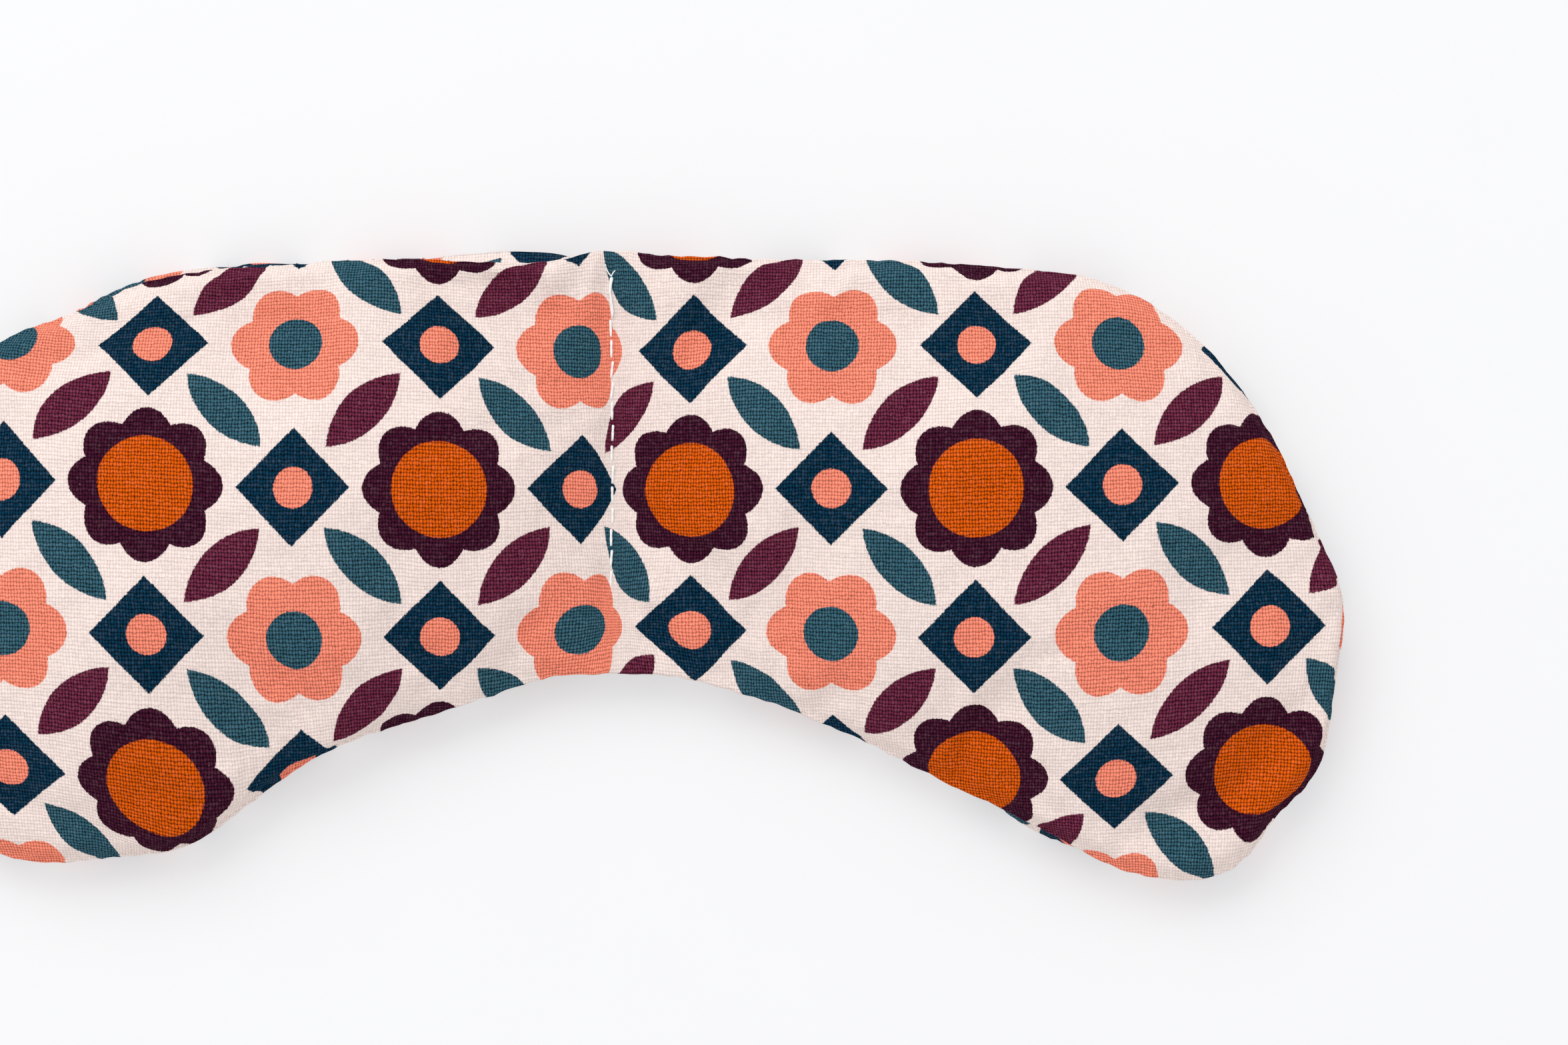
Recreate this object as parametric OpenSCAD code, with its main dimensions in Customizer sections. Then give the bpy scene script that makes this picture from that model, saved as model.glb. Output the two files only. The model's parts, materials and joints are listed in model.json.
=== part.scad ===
// A padded fabric eye pillow: two printed cloth panels sewn edge to edge and filled with seeds. A
// line of straight stitches down the middle parts it into two pockets, and a curved cut in the
// lower edge leaves room for the nose. It lies on its back panel with the front panel up.
// The origin is under the middle of the pillow, on the surface it lies on. +X runs along its
// width, +Y towards its top edge and +Z up.

/* [Size] */
// Width across both pockets
mask_w = 230; // [210:1:250]
// Height from the top edge to the lowest point of a pocket
mask_h = 98.6; // [92:0.2:106]
// Height along the centre stitching, from the top edge to the nose cut
centre_h = 66; // [60:0.5:72]
// Thickness of a filled pocket
pad_t = 18; // [15:0.5:20]
// Height of the edge seam above the surface that the pillow lies on
seam_z = 6; // [5.5:0.1:6.5]

/* [Cloth] */
// Thickness of one layer of cloth
cloth_t = 0.45; // [0.35:0.05:0.5]
// Width of the seam allowance that is turned in round the edge
allowance_w = 7; // [5:0.5:8]

/* [Stitching] */
// Diameter of the sewing thread
thread_d = 0.4; // [0.25:0.05:0.4]
// Length of one stitch, from needle hole to needle hole
stitch_pitch = 3.3; // [2.5:0.1:4]
// Cloth that shows between two stitches
stitch_gap = 0.5; // [0.3:0.1:0.8]
// Number of hand stitches that close the filling opening in the top edge
closing_count = 9; // [6:1:12]
// Distance between two closing stitches
closing_pitch = 4; // [3:0.5:5]

/* [Fold] */
// Half the width of the strip that bends along the centre stitching
hinge_half_w = 1.2; // [1.2:0.05:1.4]

/* [Hidden] */

FRONT = 1;
BACK = -1;
half_w = mask_w / 2;
top_y = mask_h / 2;
low_y = -top_y;
notch_y = top_y - centre_h;
// Each pocket's cross-sections are the outline drawn in towards this point, where it is thickest
pocket_c = [0.52 * half_w, 0.05 * top_y];
// Share of the way to the edge at which the back panel leaves the surface
flat_share = 0.75;
// Distance from the centre stitching at which a pocket has its full roundness
valley_w = 25;
// Width of the strip beside the centre stitching where the two panels lie on each other
pinch_w = 2;
// Distance from the edge at which a panel parts from its own turned-in allowance
crease_w = 1.2;
// Room between the seeds and the cloth round them
fill_gap = 0.3;
// Where the closing stitches begin, as a share of the half width from the centre
closing_start = 0.23;
tube_sides = 6;
tiny = 0.01;

// Outline of the right half, from the top of the centre stitching round to the nose cut. Each row
// is one Bezier curve: its start, two handles and its end.
function cut_y(share) = notch_y + share * (low_y - notch_y);
outline_curves = [
  [[hinge_half_w, top_y], [0.174 * half_w, top_y],
    [0.391 * half_w, 0.986 * top_y], [0.574 * half_w, 0.951 * top_y]],
  [[0.574 * half_w, 0.951 * top_y], [0.739 * half_w, 0.921 * top_y],
    [0.848 * half_w, 0.68 * top_y], [0.93 * half_w, 0.274 * top_y]],
  [[0.93 * half_w, 0.274 * top_y], [0.973 * half_w, 0.071 * top_y],
    [1.023 * half_w, 0.193 * low_y], [0.986 * half_w, 0.467 * low_y]],
  [[0.986 * half_w, 0.467 * low_y], [0.95 * half_w, 0.73 * low_y],
    [0.887 * half_w, low_y], [0.774 * half_w, low_y]],
  [[0.774 * half_w, low_y], [0.661 * half_w, low_y],
    [0.557 * half_w, cut_y(0.67)], [0.417 * half_w, cut_y(0.45)]],
  [[0.417 * half_w, cut_y(0.45)], [0.277 * half_w, cut_y(0.23)],
    [0.157 * half_w, notch_y], [hinge_half_w, notch_y]]
];
curve_steps = 7;
centre_steps = 9;

function bezier(c, t) =
  pow(1 - t, 3) * c[0] + 3 * pow(1 - t, 2) * t * c[1] + 3 * (1 - t) * t * t * c[2] + pow(t, 3) * c[3];
function smooth(t) = let (u = min(max(t, 0), 1)) u * u * (3 - 2 * u);
function mix(a, b, t) = a + (b - a) * t;

// The edge runs clockwise seen from above, and the last steps run up the centre stitching
edge_raw = [for (c = outline_curves, i = [0:curve_steps - 1]) bezier(c, i / curve_steps)];
edge_fit = (half_w - hinge_half_w) / (max([for (p = edge_raw) p.x]) - hinge_half_w);
edge_pts = [for (p = edge_raw) [hinge_half_w + (p.x - hinge_half_w) * edge_fit, p.y]];
centre_pts = [for (i = [0:centre_steps - 1]) [hinge_half_w, mix(notch_y, top_y, i / centre_steps)]];
outline = concat(edge_pts, centre_pts);
count = len(outline);

// Height of the top edge at a distance from the centre stitching
function edge_y(x) =
  let (
    j = max([for (k = [0:2 * curve_steps]) if (edge_pts[k].x <= x) k]),
    a = edge_pts[j],
    b = edge_pts[j + 1]
  ) mix(a.y, b.y, (x - a.x) / (b.x - a.x));

// How round the pocket is at an outline point: 0 beside the centre stitching, 1 well away from it
function fullness(p) = smooth((p.x - hinge_half_w) / valley_w);
function reach(p) = norm(p - pocket_c);
function is_edge(j) = j < len(edge_pts);
// A share of the way from the pocket's thickest point to the outline, inset from it by a distance
function inset(j, d) = 1 - d / reach(outline[j]);

// Height of a panel's outer face above or below the seam's plane, at share s of the way to point p
function edge_t(p) = cloth_t * mix(1.1, 2, fullness(p));
function rise(s, p) = mix(1 - pow(s, 2.2), pow(max(1 - pow(s, 2.6), 0), 0.75), fullness(p));
function sink(s, p) = 1 - pow(max(s - flat_share, 0) / (1 - flat_share), mix(1.15, 1.9, fullness(p)));
function swell(side, s, p) =
  side == FRONT
    ? edge_t(p) + (pad_t - seam_z - edge_t(p)) * rise(s, p)
    : edge_t(p) + (seam_z - edge_t(p)) * sink(s, p);

// A point at share s of the way to outline point j, at height h from the seam's plane
function place(side, j, s, h) =
  let (q = mix(pocket_c, outline[j], s)) [q.x, q.y, seam_z + side * h];
function ring_at(side, s, drop) =
  [for (j = [0:count - 1]) place(side, j, s, swell(side, s, outline[j]) - drop)];
function shares(side) =
  side == FRONT
    ? [for (k = [1:7]) sin(90 * k / 8)]
    : concat([flat_share / 2, flat_share], [for (k = [1:4]) mix(flat_share, 1, sin(90 * k / 5))]);
function reversed(v) = [for (i = [len(v) - 1:-1:0]) v[i]];

// One closed skin through a stack of rings of the same length, with a point at each end. clockwise
// says which way round the rings run, so that every face looks out of the solid.
module ringed_solid(first, rings, last, clockwise) {
  n = len(rings[0]);
  m = len(rings);
  points = concat([first], [for (r = rings, p = r) p], [last]);
  function at(k, j) = 1 + k * n + j % n;
  faces = concat(
    [for (j = [0:n - 1]) [0, at(0, j + 1), at(0, j)]],
    [for (k = [0:m - 2], j = [0:n - 1]) each [
      [at(k, j), at(k, j + 1), at(k + 1, j + 1)],
      [at(k, j), at(k + 1, j + 1), at(k + 1, j)]
    ]],
    [for (j = [0:n - 1]) [m * n + 1, at(m - 1, j), at(m - 1, j + 1)]]
  );
  polyhedron(points, clockwise ? [for (f = faces) reversed(f)] : faces, convexity = 6);
}

// Half of a cloth panel: the domed skin, folded in at the edge to its seam allowance
module half_panel(side) {
  outer = [for (s = concat(shares(side), [1])) ring_at(side, s, 0)];
  lip = function (j) is_edge(j) ? allowance_w : pinch_w;
  under_edge = [for (j = [0:count - 1]) place(side, j, 1, 0)];
  under_lip = [for (j = [0:count - 1]) place(side, j, inset(j, lip(j)), 0)];
  over_lip = [for (j = [0:count - 1]) place(side, j, inset(j, lip(j)), cloth_t)];
  crease = [for (j = [0:count - 1]) place(side, j, inset(j, crease_w), cloth_t)];
  inner_edge = [for (j = [0:count - 1]) let (s = inset(j, crease_w))
    place(side, j, s, swell(side, s, outline[j]) - cloth_t)];
  inner_shares = [for (s = reversed(shares(side))) if (s < 0.94) s];
  inner = [for (s = inner_shares) ring_at(side, s, cloth_t)];
  crown = swell(side, 0, pocket_c);
  ringed_solid(
    [pocket_c.x, pocket_c.y, seam_z + side * crown],
    concat(outer, [under_edge, under_lip, over_lip, crease, inner_edge], inner),
    [pocket_c.x, pocket_c.y, seam_z + side * (crown - cloth_t)],
    side == FRONT
  );
}

// A thread along the inside of the edge, in the fold between a panel and its allowance
module edge_thread(side) {
  r = thread_d / 2;
  last = len(edge_pts) - 1;
  path = [for (j = [1:last]) let (p = outline[j])
    place(side, j, inset(j, mix(2.8, 1.7, fullness(p))), cloth_t + r + tiny)];
  function along(i) =
    let (d = path[min(i + 1, len(path) - 1)] - path[max(i - 1, 0)]) d / norm(d);
  function hoop(i) = let (t = along(i), out = [t.y, -t.x, 0])
    [for (k = [0:tube_sides - 1]) path[i] + r * (cos(360 * k / tube_sides) * out
      + sin(360 * k / tube_sides) * [0, 0, 1])];
  ringed_solid(path[0], [for (i = [0:len(path) - 1]) hoop(i)], path[len(path) - 1], false);
}

// The loose seeds of one pocket, as one body of the shape that they fill
module half_fill() {
  wall = [for (j = [0:count - 1]) inset(j, is_edge(j) ? allowance_w + 0.5 : pinch_w + 1.5)];
  drop = cloth_t + fill_gap;
  function shell(side) = [for (s = shares(side)) if (s < 0.76) ring_at(side, s, drop)];
  function rim(side) =
    [for (j = [0:count - 1]) place(side, j, wall[j], swell(side, wall[j], outline[j]) - drop)];
  ringed_solid(
    [pocket_c.x, pocket_c.y, pad_t - drop],
    concat(shell(FRONT), [rim(FRONT), rim(BACK)], reversed(shell(BACK))),
    [pocket_c.x, pocket_c.y, drop],
    true
  );
}

// The row of stitches along the centre, on one face of the pinched cloth
module centre_row(side) {
  r = thread_d / 2;
  first_y = notch_y + 3;
  stitches = floor((centre_h - 5) / stitch_pitch);
  for (i = [0:stitches - 1])
    translate([0, first_y + i * stitch_pitch, seam_z + side * (cloth_t + r + tiny)])
      rotate([-90, 0, 0])
        cylinder(r = r, h = stitch_pitch - stitch_gap, $fn = 24);
}

module front_panel_right() {
  color("antiquewhite") half_panel(FRONT);
}

module front_panel_left() {
  color("antiquewhite") mirror([1, 0, 0]) half_panel(FRONT);
}

module back_panel_right() {
  color("linen") half_panel(BACK);
}

module back_panel_left() {
  color("linen") mirror([1, 0, 0]) half_panel(BACK);
}

// The narrow strip of both panels under the centre stitches, round so that the pockets fold about it
module centre_seam() {
  color("antiquewhite") {
    translate([0, notch_y, seam_z])
      rotate([-90, 0, 0])
        cylinder(r = cloth_t, h = centre_h, $fn = 32);
    translate([0, notch_y, seam_z - cloth_t / 2])
      cube([hinge_half_w, centre_h, cloth_t]);
  }
}

module centre_stitch_front() {
  color("snow") centre_row(FRONT);
}

module centre_stitch_back() {
  color("snow") centre_row(BACK);
}

module edge_stitch_front_right() {
  color("snow") edge_thread(FRONT);
}

module edge_stitch_front_left() {
  color("snow") mirror([1, 0, 0]) edge_thread(FRONT);
}

module edge_stitch_back_right() {
  color("snow") edge_thread(BACK);
}

module edge_stitch_back_left() {
  color("snow") mirror([1, 0, 0]) edge_thread(BACK);
}

// Short hand stitches that bridge the two folded edges of the filling opening
module closing_stitch() {
  r = thread_d / 2;
  color("snow")
    for (i = [0:closing_count - 1]) {
      x = closing_start * half_w + i * closing_pitch;
      translate([-x, edge_y(x) + r + 2 * tiny, seam_z - cloth_t])
        cylinder(r = r, h = 2 * cloth_t, $fn = 24);
    }
}

module seed_fill_right() {
  color("peru") half_fill();
}

module seed_fill_left() {
  color("peru") mirror([1, 0, 0]) half_fill();
}

front_panel_right();
front_panel_left();
back_panel_right();
back_panel_left();
centre_seam();
centre_stitch_front();
centre_stitch_back();
edge_stitch_front_right();
edge_stitch_front_left();
edge_stitch_back_right();
edge_stitch_back_left();
closing_stitch();
seed_fill_right();
seed_fill_left();
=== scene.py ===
"""The look of the seed-filled eye pillow: two printed cotton panels sewn together round the edge and
parted by a line of stitches. A cloth simulation fills the sewn bag, and thin covers, threads and
seeds are built round its shape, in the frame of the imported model. The print is a plain one, not the
photo's. Lengths are in millimetres until a mesh is made."""

import json
import math
from collections import Counter

import bpy
import numpy as np
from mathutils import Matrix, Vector
from mathutils.geometry import delaunay_2d_cdt


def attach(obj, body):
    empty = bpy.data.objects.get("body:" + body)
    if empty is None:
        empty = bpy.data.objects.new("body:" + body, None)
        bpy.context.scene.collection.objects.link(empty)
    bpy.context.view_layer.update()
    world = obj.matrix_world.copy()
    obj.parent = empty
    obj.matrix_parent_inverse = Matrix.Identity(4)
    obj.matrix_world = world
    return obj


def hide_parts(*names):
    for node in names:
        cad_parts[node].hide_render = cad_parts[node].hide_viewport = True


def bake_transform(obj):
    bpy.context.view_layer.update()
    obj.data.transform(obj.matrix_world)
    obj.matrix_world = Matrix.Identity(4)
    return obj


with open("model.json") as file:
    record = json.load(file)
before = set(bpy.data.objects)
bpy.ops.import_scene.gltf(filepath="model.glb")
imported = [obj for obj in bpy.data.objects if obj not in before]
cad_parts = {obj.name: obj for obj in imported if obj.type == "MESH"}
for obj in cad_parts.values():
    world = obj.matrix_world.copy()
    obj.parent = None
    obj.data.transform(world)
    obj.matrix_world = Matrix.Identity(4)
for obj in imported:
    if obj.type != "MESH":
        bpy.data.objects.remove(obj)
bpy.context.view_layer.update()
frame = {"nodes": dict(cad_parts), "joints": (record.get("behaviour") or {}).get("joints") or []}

MM = 0.001
FRONT = 1
BACK = -1
LABELS = {FRONT: "front", BACK: "back"}
RIGHT_BODY = "right_pocket"
LEFT_BODY = "left_pocket"
# Each pocket's side of the centre line, label and body
POCKETS = ((1, "right", RIGHT_BODY), (-1, "left", LEFT_BODY))

# Cloth and thread
CLOTH_T = 0.45
LIP_W = 6.5
THREAD_R = 0.2
THREAD_TWIST = 1.3
GAP = 0.02

# Shape of the filled bag
MESH_STEP = 2.0
BELLY = 6.0
VALLEY_SLOPE = 0.44
BEND_W = 5.0
# Between each pocket and the middle of the angle left open at the fold's limit
FOLD_GAP = 0.15
# Cloth that the centre stitching draws in on each side of it
TUCK = 1.85
# Where its foot gathers the cloth, and how far round it
GATHER_AT = (2.0, -9.0)
GATHER_W = 6.5
# Where the sewn outline departs from the drawn one: the place, the shift and how far it spreads
LEANS = [
    ((-97, -45), (0.0, 2.0), 10),
    ((-83, -48), (0.0, 1.6), 9),
    ((-64, -41), (-0.5, -3.8), 8),
    ((-100, 33), (-1.8, 3.0), 8),
    ((-84, 42), (0.0, -1.4), 9),
    ((-20, 49), (0.0, -0.7), 30),
    ((22, 49), (0.0, -0.8), 12),
    ((62, 48), (0.0, -0.9), 12),
    ((89, 36), (-0.2, -0.4), 12),
    ((62, -42), (0.0, -1.0), 12),
    ((111, -3), (0.8, 0.4), 10),
    ((111, -32), (1.5, -0.4), 7),
    ((97, -39), (-0.8, 0.7), 7),
    ((98, -48), (0.4, -1.0), 6),
    ((107, -41), (-0.9, 0.9), 4),
    ((114, -6), (0.6, 0.0), 5),
    ((112, 6), (-0.7, 0.0), 5),
    ((114, -20), (-0.9, 0.0), 6),
    ((-23, -21), (0.0, -1.0), 8),
]
# Where the edge seam rolls onto the front (above 0) or under: the place, its spread and how far
ROLLS = [
    ((-15, 49), 13, 1.4),
    ((-78, 42), 11, 1.1),
    ((-56, 48), 9, 0.8),
    ((33, 49), 7, 0.7),
    ((66, -44), 10, 1.2),
    ((112, -10), 14, -0.6),
    ((-50, -32), 14, -0.6),
]

# Print
REPEAT = 44.0
FLOWER_AT = (15.0, 12.0)
# Where each panel was cut from the printed cloth
PRINT_SHIFT = {FRONT: (0, 0), BACK: (-15.4, -9)}
# Plain weave: distance from thread to thread, and how much of a thread's height is its wave
WARP_PITCH = 0.463
WEFT_PITCH = 0.574
RISE = 0.4

rng = np.random.default_rng(11)


# ---------------------------------------------------------------- sizes from the frame


def node_points(name):
    mesh = frame["nodes"][name].data
    co = np.empty(len(mesh.vertices) * 3)
    mesh.vertices.foreach_get("co", co)
    return co.reshape(-1, 3) / MM


def frame_sizes():
    """The seam's height, the pillow's height, and the right pocket's edge from the top of the centre
    stitching round to the nose cut."""
    points = node_points("front_panel_right")
    seam_z = frame["joints"][0]["pos_m"][2] / MM
    crown = points[points[:, 2].argmax()]
    level = points[np.abs(points[:, 2] - seam_z) < 0.01][:, :2]
    away = level - crown[:2]
    reach = np.hypot(away[:, 0], away[:, 1])
    angle = np.round(np.arctan2(away[:, 1], away[:, 0]), 3)
    edge = np.array([level[angle == a][reach[angle == a].argmax()] for a in np.unique(angle)])
    centre_x = edge[:, 0].min()
    middle = edge[edge[:, 0] < centre_x + 0.01]
    top_y, notch_y = middle[:, 1].max(), middle[:, 1].min()
    round_edge = edge[edge[:, 0] > centre_x + 0.01]
    turn = np.arctan2(round_edge[:, 1] - crown[1], round_edge[:, 0] - crown[0])
    start = math.atan2(top_y - crown[1], -crown[0])
    order = np.argsort((start - turn) % (2 * math.pi))
    path = np.vstack([[0, top_y], round_edge[order], [0, notch_y]])
    return seam_z, crown[2], path


SEAM_Z, TOP_Z, HALF_EDGE = frame_sizes()


def spline(points, per_span=24):
    """A smooth curve through the points."""
    before = np.vstack([2 * points[0] - points[1], points[:-1]])[:-1]
    after = np.vstack([points[1:], 2 * points[-1] - points[-2]])[1:]
    out = []
    for p0, p1, p2, p3 in zip(before, points[:-1], points[1:], after):
        t = np.linspace(0, 1, per_span, endpoint=False)[:, None]
        out.append(
            0.5 * (2 * p1 + (p2 - p0) * t + (2 * p0 - 5 * p1 + 4 * p2 - p3) * t**2
                   + (3 * p1 - p0 - 3 * p2 + p3) * t**3)
        )
    return np.vstack(out + [points[-1:]])


def resample(points, step):
    run = np.r_[0, np.cumsum(np.linalg.norm(np.diff(points, axis=0), axis=1))]
    at = np.linspace(0, run[-1], max(2, round(run[-1] / step)) + 1)
    return np.c_[[np.interp(at, run, points[:, k]) for k in range(points.shape[1])]].T


def smooth(t):
    t = np.clip(t, 0, 1)
    return t * t * (3 - 2 * t)


def soft_min(a, b, k):
    h = np.clip(k - np.abs(a - b), 0, None) / k
    return np.minimum(a, b) - h * h * k / 4


def soft_loop(values, width):
    """Values round a closed loop, blurred over that many steps."""
    reach = int(3 * width)
    kernel = np.exp(-0.5 * (np.arange(-reach, reach + 1) / width) ** 2)
    kernel /= kernel.sum()
    wrapped = np.concatenate([values[-reach:], values, values[:reach]])
    return np.stack([np.convolve(wrapped[:, k], kernel, "valid") for k in range(values.shape[1])], 1)


# ---------------------------------------------------------------- the flat panel


def inside(points, loop):
    x, y = points[:, 0], points[:, 1]
    found = np.zeros(len(points), bool)
    for (ax, ay), (bx, by) in zip(loop, np.roll(loop, -1, 0)):
        crosses = (ay > y) != (by > y)
        found ^= crosses & (x < (bx - ax) * (y - ay) / (by - ay + 1e-12) + ax)
    return found


def flat_panel(half_edge):
    """One panel as cut: its points, triangles, edge loop and centre line."""
    step = MESH_STEP
    right = resample(spline(half_edge), step)
    left = right[::-1] * [-1, 1]
    loop = np.vstack([right[:-1], left[:-1]])
    notch = len(right) - 1
    line = resample(np.array([right[0], right[-1]]), step)[1:-1]
    rows = np.arange(loop[:, 1].min(), loop[:, 1].max(), step * math.sqrt(3) / 2)
    columns = np.arange(loop[:, 0].min(), loop[:, 0].max(), step)
    grid = np.array([(x + step / 2 * (j % 2), y) for j, y in enumerate(rows) for x in columns])
    grid = grid[inside(grid, loop)]
    seams = np.vstack([loop, line])
    clear = np.linalg.norm(grid[:, None] - seams[None], axis=2).min(1) > 0.75 * step
    grid = grid[clear & (np.abs(grid[:, 0]) > 0.7 * step)]
    grid = grid + rng.uniform(-0.12, 0.12, grid.shape) * step
    points = np.vstack([loop, line, grid])
    n = len(loop)
    centre = [0] + [n + i for i in range(len(line))] + [notch]
    kept = [(i, (i + 1) % n) for i in range(n)] + list(zip(centre[:-1], centre[1:]))
    made = delaunay_2d_cdt([Vector(p) for p in points], kept, [], 1, 1e-6)
    flat = np.array([tuple(p) for p in made[0]])
    faces = np.array(made[2])
    a = flat[faces[:, 1]] - flat[faces[:, 0]]
    b = flat[faces[:, 2]] - flat[faces[:, 0]]
    wrong = a[:, 0] * b[:, 1] - a[:, 1] * b[:, 0] < 0
    faces[wrong] = faces[wrong][:, ::-1]
    return flat, faces, np.arange(n), np.array(centre)


# ---------------------------------------------------------------- the simulation


def set_cloth(settings):
    settings.quality = 6
    settings.mass = 0.3
    settings.tension_stiffness = 60
    settings.compression_stiffness = 60
    settings.shear_stiffness = 30
    settings.bending_model = "ANGULAR"
    settings.bending_stiffness = 4
    settings.tension_damping = 10
    settings.compression_damping = 10
    settings.shear_damping = 10
    settings.bending_damping = 1
    settings.air_damping = 2
    settings.use_pressure = True
    settings.uniform_pressure_force = 1.0
    settings.effector_weights.gravity = 0
    settings.vertex_group_shrink = "seam"
    settings.shrink_min = 0
    settings.shrink_max = 0.03


def fill_bag(flat, faces, loop, centre):
    """Both panels, sewn along the edge and the centre line, blown up by the filling. Gives the
    front and the back panel's points, in the flat panel's order."""
    n = len(flat)
    sewn = np.union1d(loop, centre)
    free = np.setdiff1d(np.arange(n), sewn)
    back = np.arange(n)
    back[free] = n + np.arange(len(free))
    start = np.zeros((n + len(free), 3))
    start[:n, :2] = flat
    start[n:, :2] = flat[free]
    start[free, 2] = 0.6
    start[n:, 2] = -0.6
    start[:, 2] += rng.uniform(-0.05, 0.05, len(start))
    scale = 0.01
    mesh = bpy.data.meshes.new("bag")
    mesh.from_pydata((start * scale).tolist(), [], np.vstack([faces, back[faces][:, ::-1]]).tolist())
    bag = bpy.data.objects.new("bag", mesh)
    bpy.context.scene.collection.objects.link(bag)
    bag.vertex_groups.new(name="seam").add(sewn.tolist(), 1.0, "REPLACE")
    cloth = bag.modifiers.new("Cloth", "CLOTH")
    set_cloth(cloth.settings)
    cloth.collision_settings.use_collision = False
    cloth.collision_settings.use_self_collision = False
    last = 24
    cloth.point_cache.frame_start = 1
    cloth.point_cache.frame_end = last + 1
    for f in range(1, last + 1):
        bpy.context.scene.frame_set(f)
    shown = bag.evaluated_get(bpy.context.evaluated_depsgraph_get())
    co = np.empty(len(start) * 3)
    shown.data.vertices.foreach_get("co", co)
    co = co.reshape(-1, 3) / scale
    bpy.data.objects.remove(bag)
    bpy.data.meshes.remove(mesh)
    bpy.context.scene.frame_set(1)
    return co[:n], co[back]


# ---------------------------------------------------------------- from the simulation to the pillow


def lean(points):
    """The sewn outline isn't quite even, so the edge leaves the drawn one by a few millimetres."""
    moved = points.copy()
    for spot, shift, spread in LEANS:
        far = ((points - spot) ** 2).sum(1) / spread**2
        moved += np.exp(-0.5 * far)[:, None] * shift
    return moved


def roll_at(points):
    """How far the edge seam is rolled onto the front at each point of the edge."""
    total = np.zeros(len(points))
    for spot, spread, amount in ROLLS:
        total += amount * np.exp(-0.5 * ((points - spot) ** 2).sum(1) / spread**2)
    return total * smooth((np.abs(points[:, 0]) - 1) / 7)


def roll_edge(side, points, near, away, edge_far):
    """Rolls a panel's edge over or under, so that a strip of the other panel shows. near is the
    roll at the closest point of the edge and away the outward direction there."""
    far = near * side
    wraps = np.clip(-far, 0, None)
    draws = np.clip(far, 0, None)
    fade = 1 - smooth((edge_far - 5) / 20)
    outward = wraps * (3 * smooth(edge_far / 3) - 1) * fade - draws * (1 - smooth(edge_far / 14))
    lift = np.abs(near) * np.where(far < 0, 1 - smooth(edge_far / 4.5), 1 - smooth(edge_far / 6))
    moved = points.copy()
    moved[:, :2] += away * outward[:, None]
    moved[:, 2] += 0.95 * np.sign(near) * lift
    return moved


def onto_outline(flat, panels, loop, centre):
    """Moves the simulated panels so that the edge follows the frame's outline and keeps its
    puckers, and the centre line is straight."""
    sim = panels[0]
    off_loop = soft_loop(flat[loop] - sim[loop, :2], 5) + (lean(flat) - flat)[loop]
    off_line = lean(flat)[centre] - sim[centre, :2]
    spots = np.vstack([flat[loop], flat[centre]])
    offs = np.vstack([off_loop, off_line])
    near = ((flat[:, None] - spots[None]) ** 2).sum(2) + 0.25
    weight = near**-1.5
    shift = (weight @ offs) / weight.sum(1, keepdims=True)
    out = []
    for p in panels:
        q = p.copy()
        q[:, :2] += shift
        q[centre, 0] = 0
        out.append(q)
    return out


def edges_of(faces):
    return np.sort(np.vstack([faces[:, [0, 1]], faces[:, [1, 2]], faces[:, [2, 0]]]), 1)


def loop_weights(faces, n):
    """Which old points, and how much of each, make the points of a mesh cut into four times as many
    triangles and smoothed. Gives a function that does it to any columns, and the new triangles."""
    every = edges_of(faces)
    edges, index, count = np.unique(every, axis=0, return_inverse=True, return_counts=True)
    index = index.reshape(3, -1)
    rim = edges[count == 1]
    opposite = np.zeros((len(edges), 2), int)
    filled = np.zeros(len(edges), int)
    for side, far in ((0, 2), (1, 0), (2, 1)):
        for e, v in zip(index[side], faces[:, far]):
            opposite[e, filled[e]] = v
            filled[e] += 1
    on_rim = np.zeros(n, bool)
    on_rim[rim] = True
    valence = np.bincount(edges.ravel(), minlength=n)
    beta = (0.625 - (0.375 + 0.25 * np.cos(2 * np.pi / np.maximum(valence, 1))) ** 2) / valence

    def refine(x):
        inner = count == 2
        mid = 0.5 * (x[edges[:, 0]] + x[edges[:, 1]])
        wide = 0.5 * (x[opposite[:, 0]] + x[opposite[:, 1]])
        mid[inner] = 0.75 * mid[inner] + 0.25 * wide[inner]
        total = np.zeros_like(x)
        np.add.at(total, edges[:, 0], x[edges[:, 1]])
        np.add.at(total, edges[:, 1], x[edges[:, 0]])
        old = x * (1 - valence * beta)[:, None] + total * beta[:, None]
        along = np.zeros_like(x)
        np.add.at(along, rim[:, 0], x[rim[:, 1]])
        np.add.at(along, rim[:, 1], x[rim[:, 0]])
        old[on_rim] = 0.75 * x[on_rim] + 0.125 * along[on_rim]
        return np.vstack([old, mid])

    m = n + index
    a, b, c = faces.T
    made = np.vstack([
        np.c_[a, m[0], m[2]], np.c_[b, m[1], m[0]], np.c_[c, m[2], m[1]], np.c_[m[0], m[1], m[2]]
    ])
    return refine, made


def rim_loop(faces):
    """The boundary of a triangle mesh in order, the way its triangles run."""
    directed = np.vstack([faces[:, [0, 1]], faces[:, [1, 2]], faces[:, [2, 0]]])
    count = Counter(map(tuple, np.sort(directed, 1).tolist()))
    follow = {a: b for a, b in directed.tolist() if count[(min(a, b), max(a, b))] == 1}
    start = min(follow)
    out = [start]
    while follow[out[-1]] != start:
        out.append(follow[out[-1]])
    return np.array(out)


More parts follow.
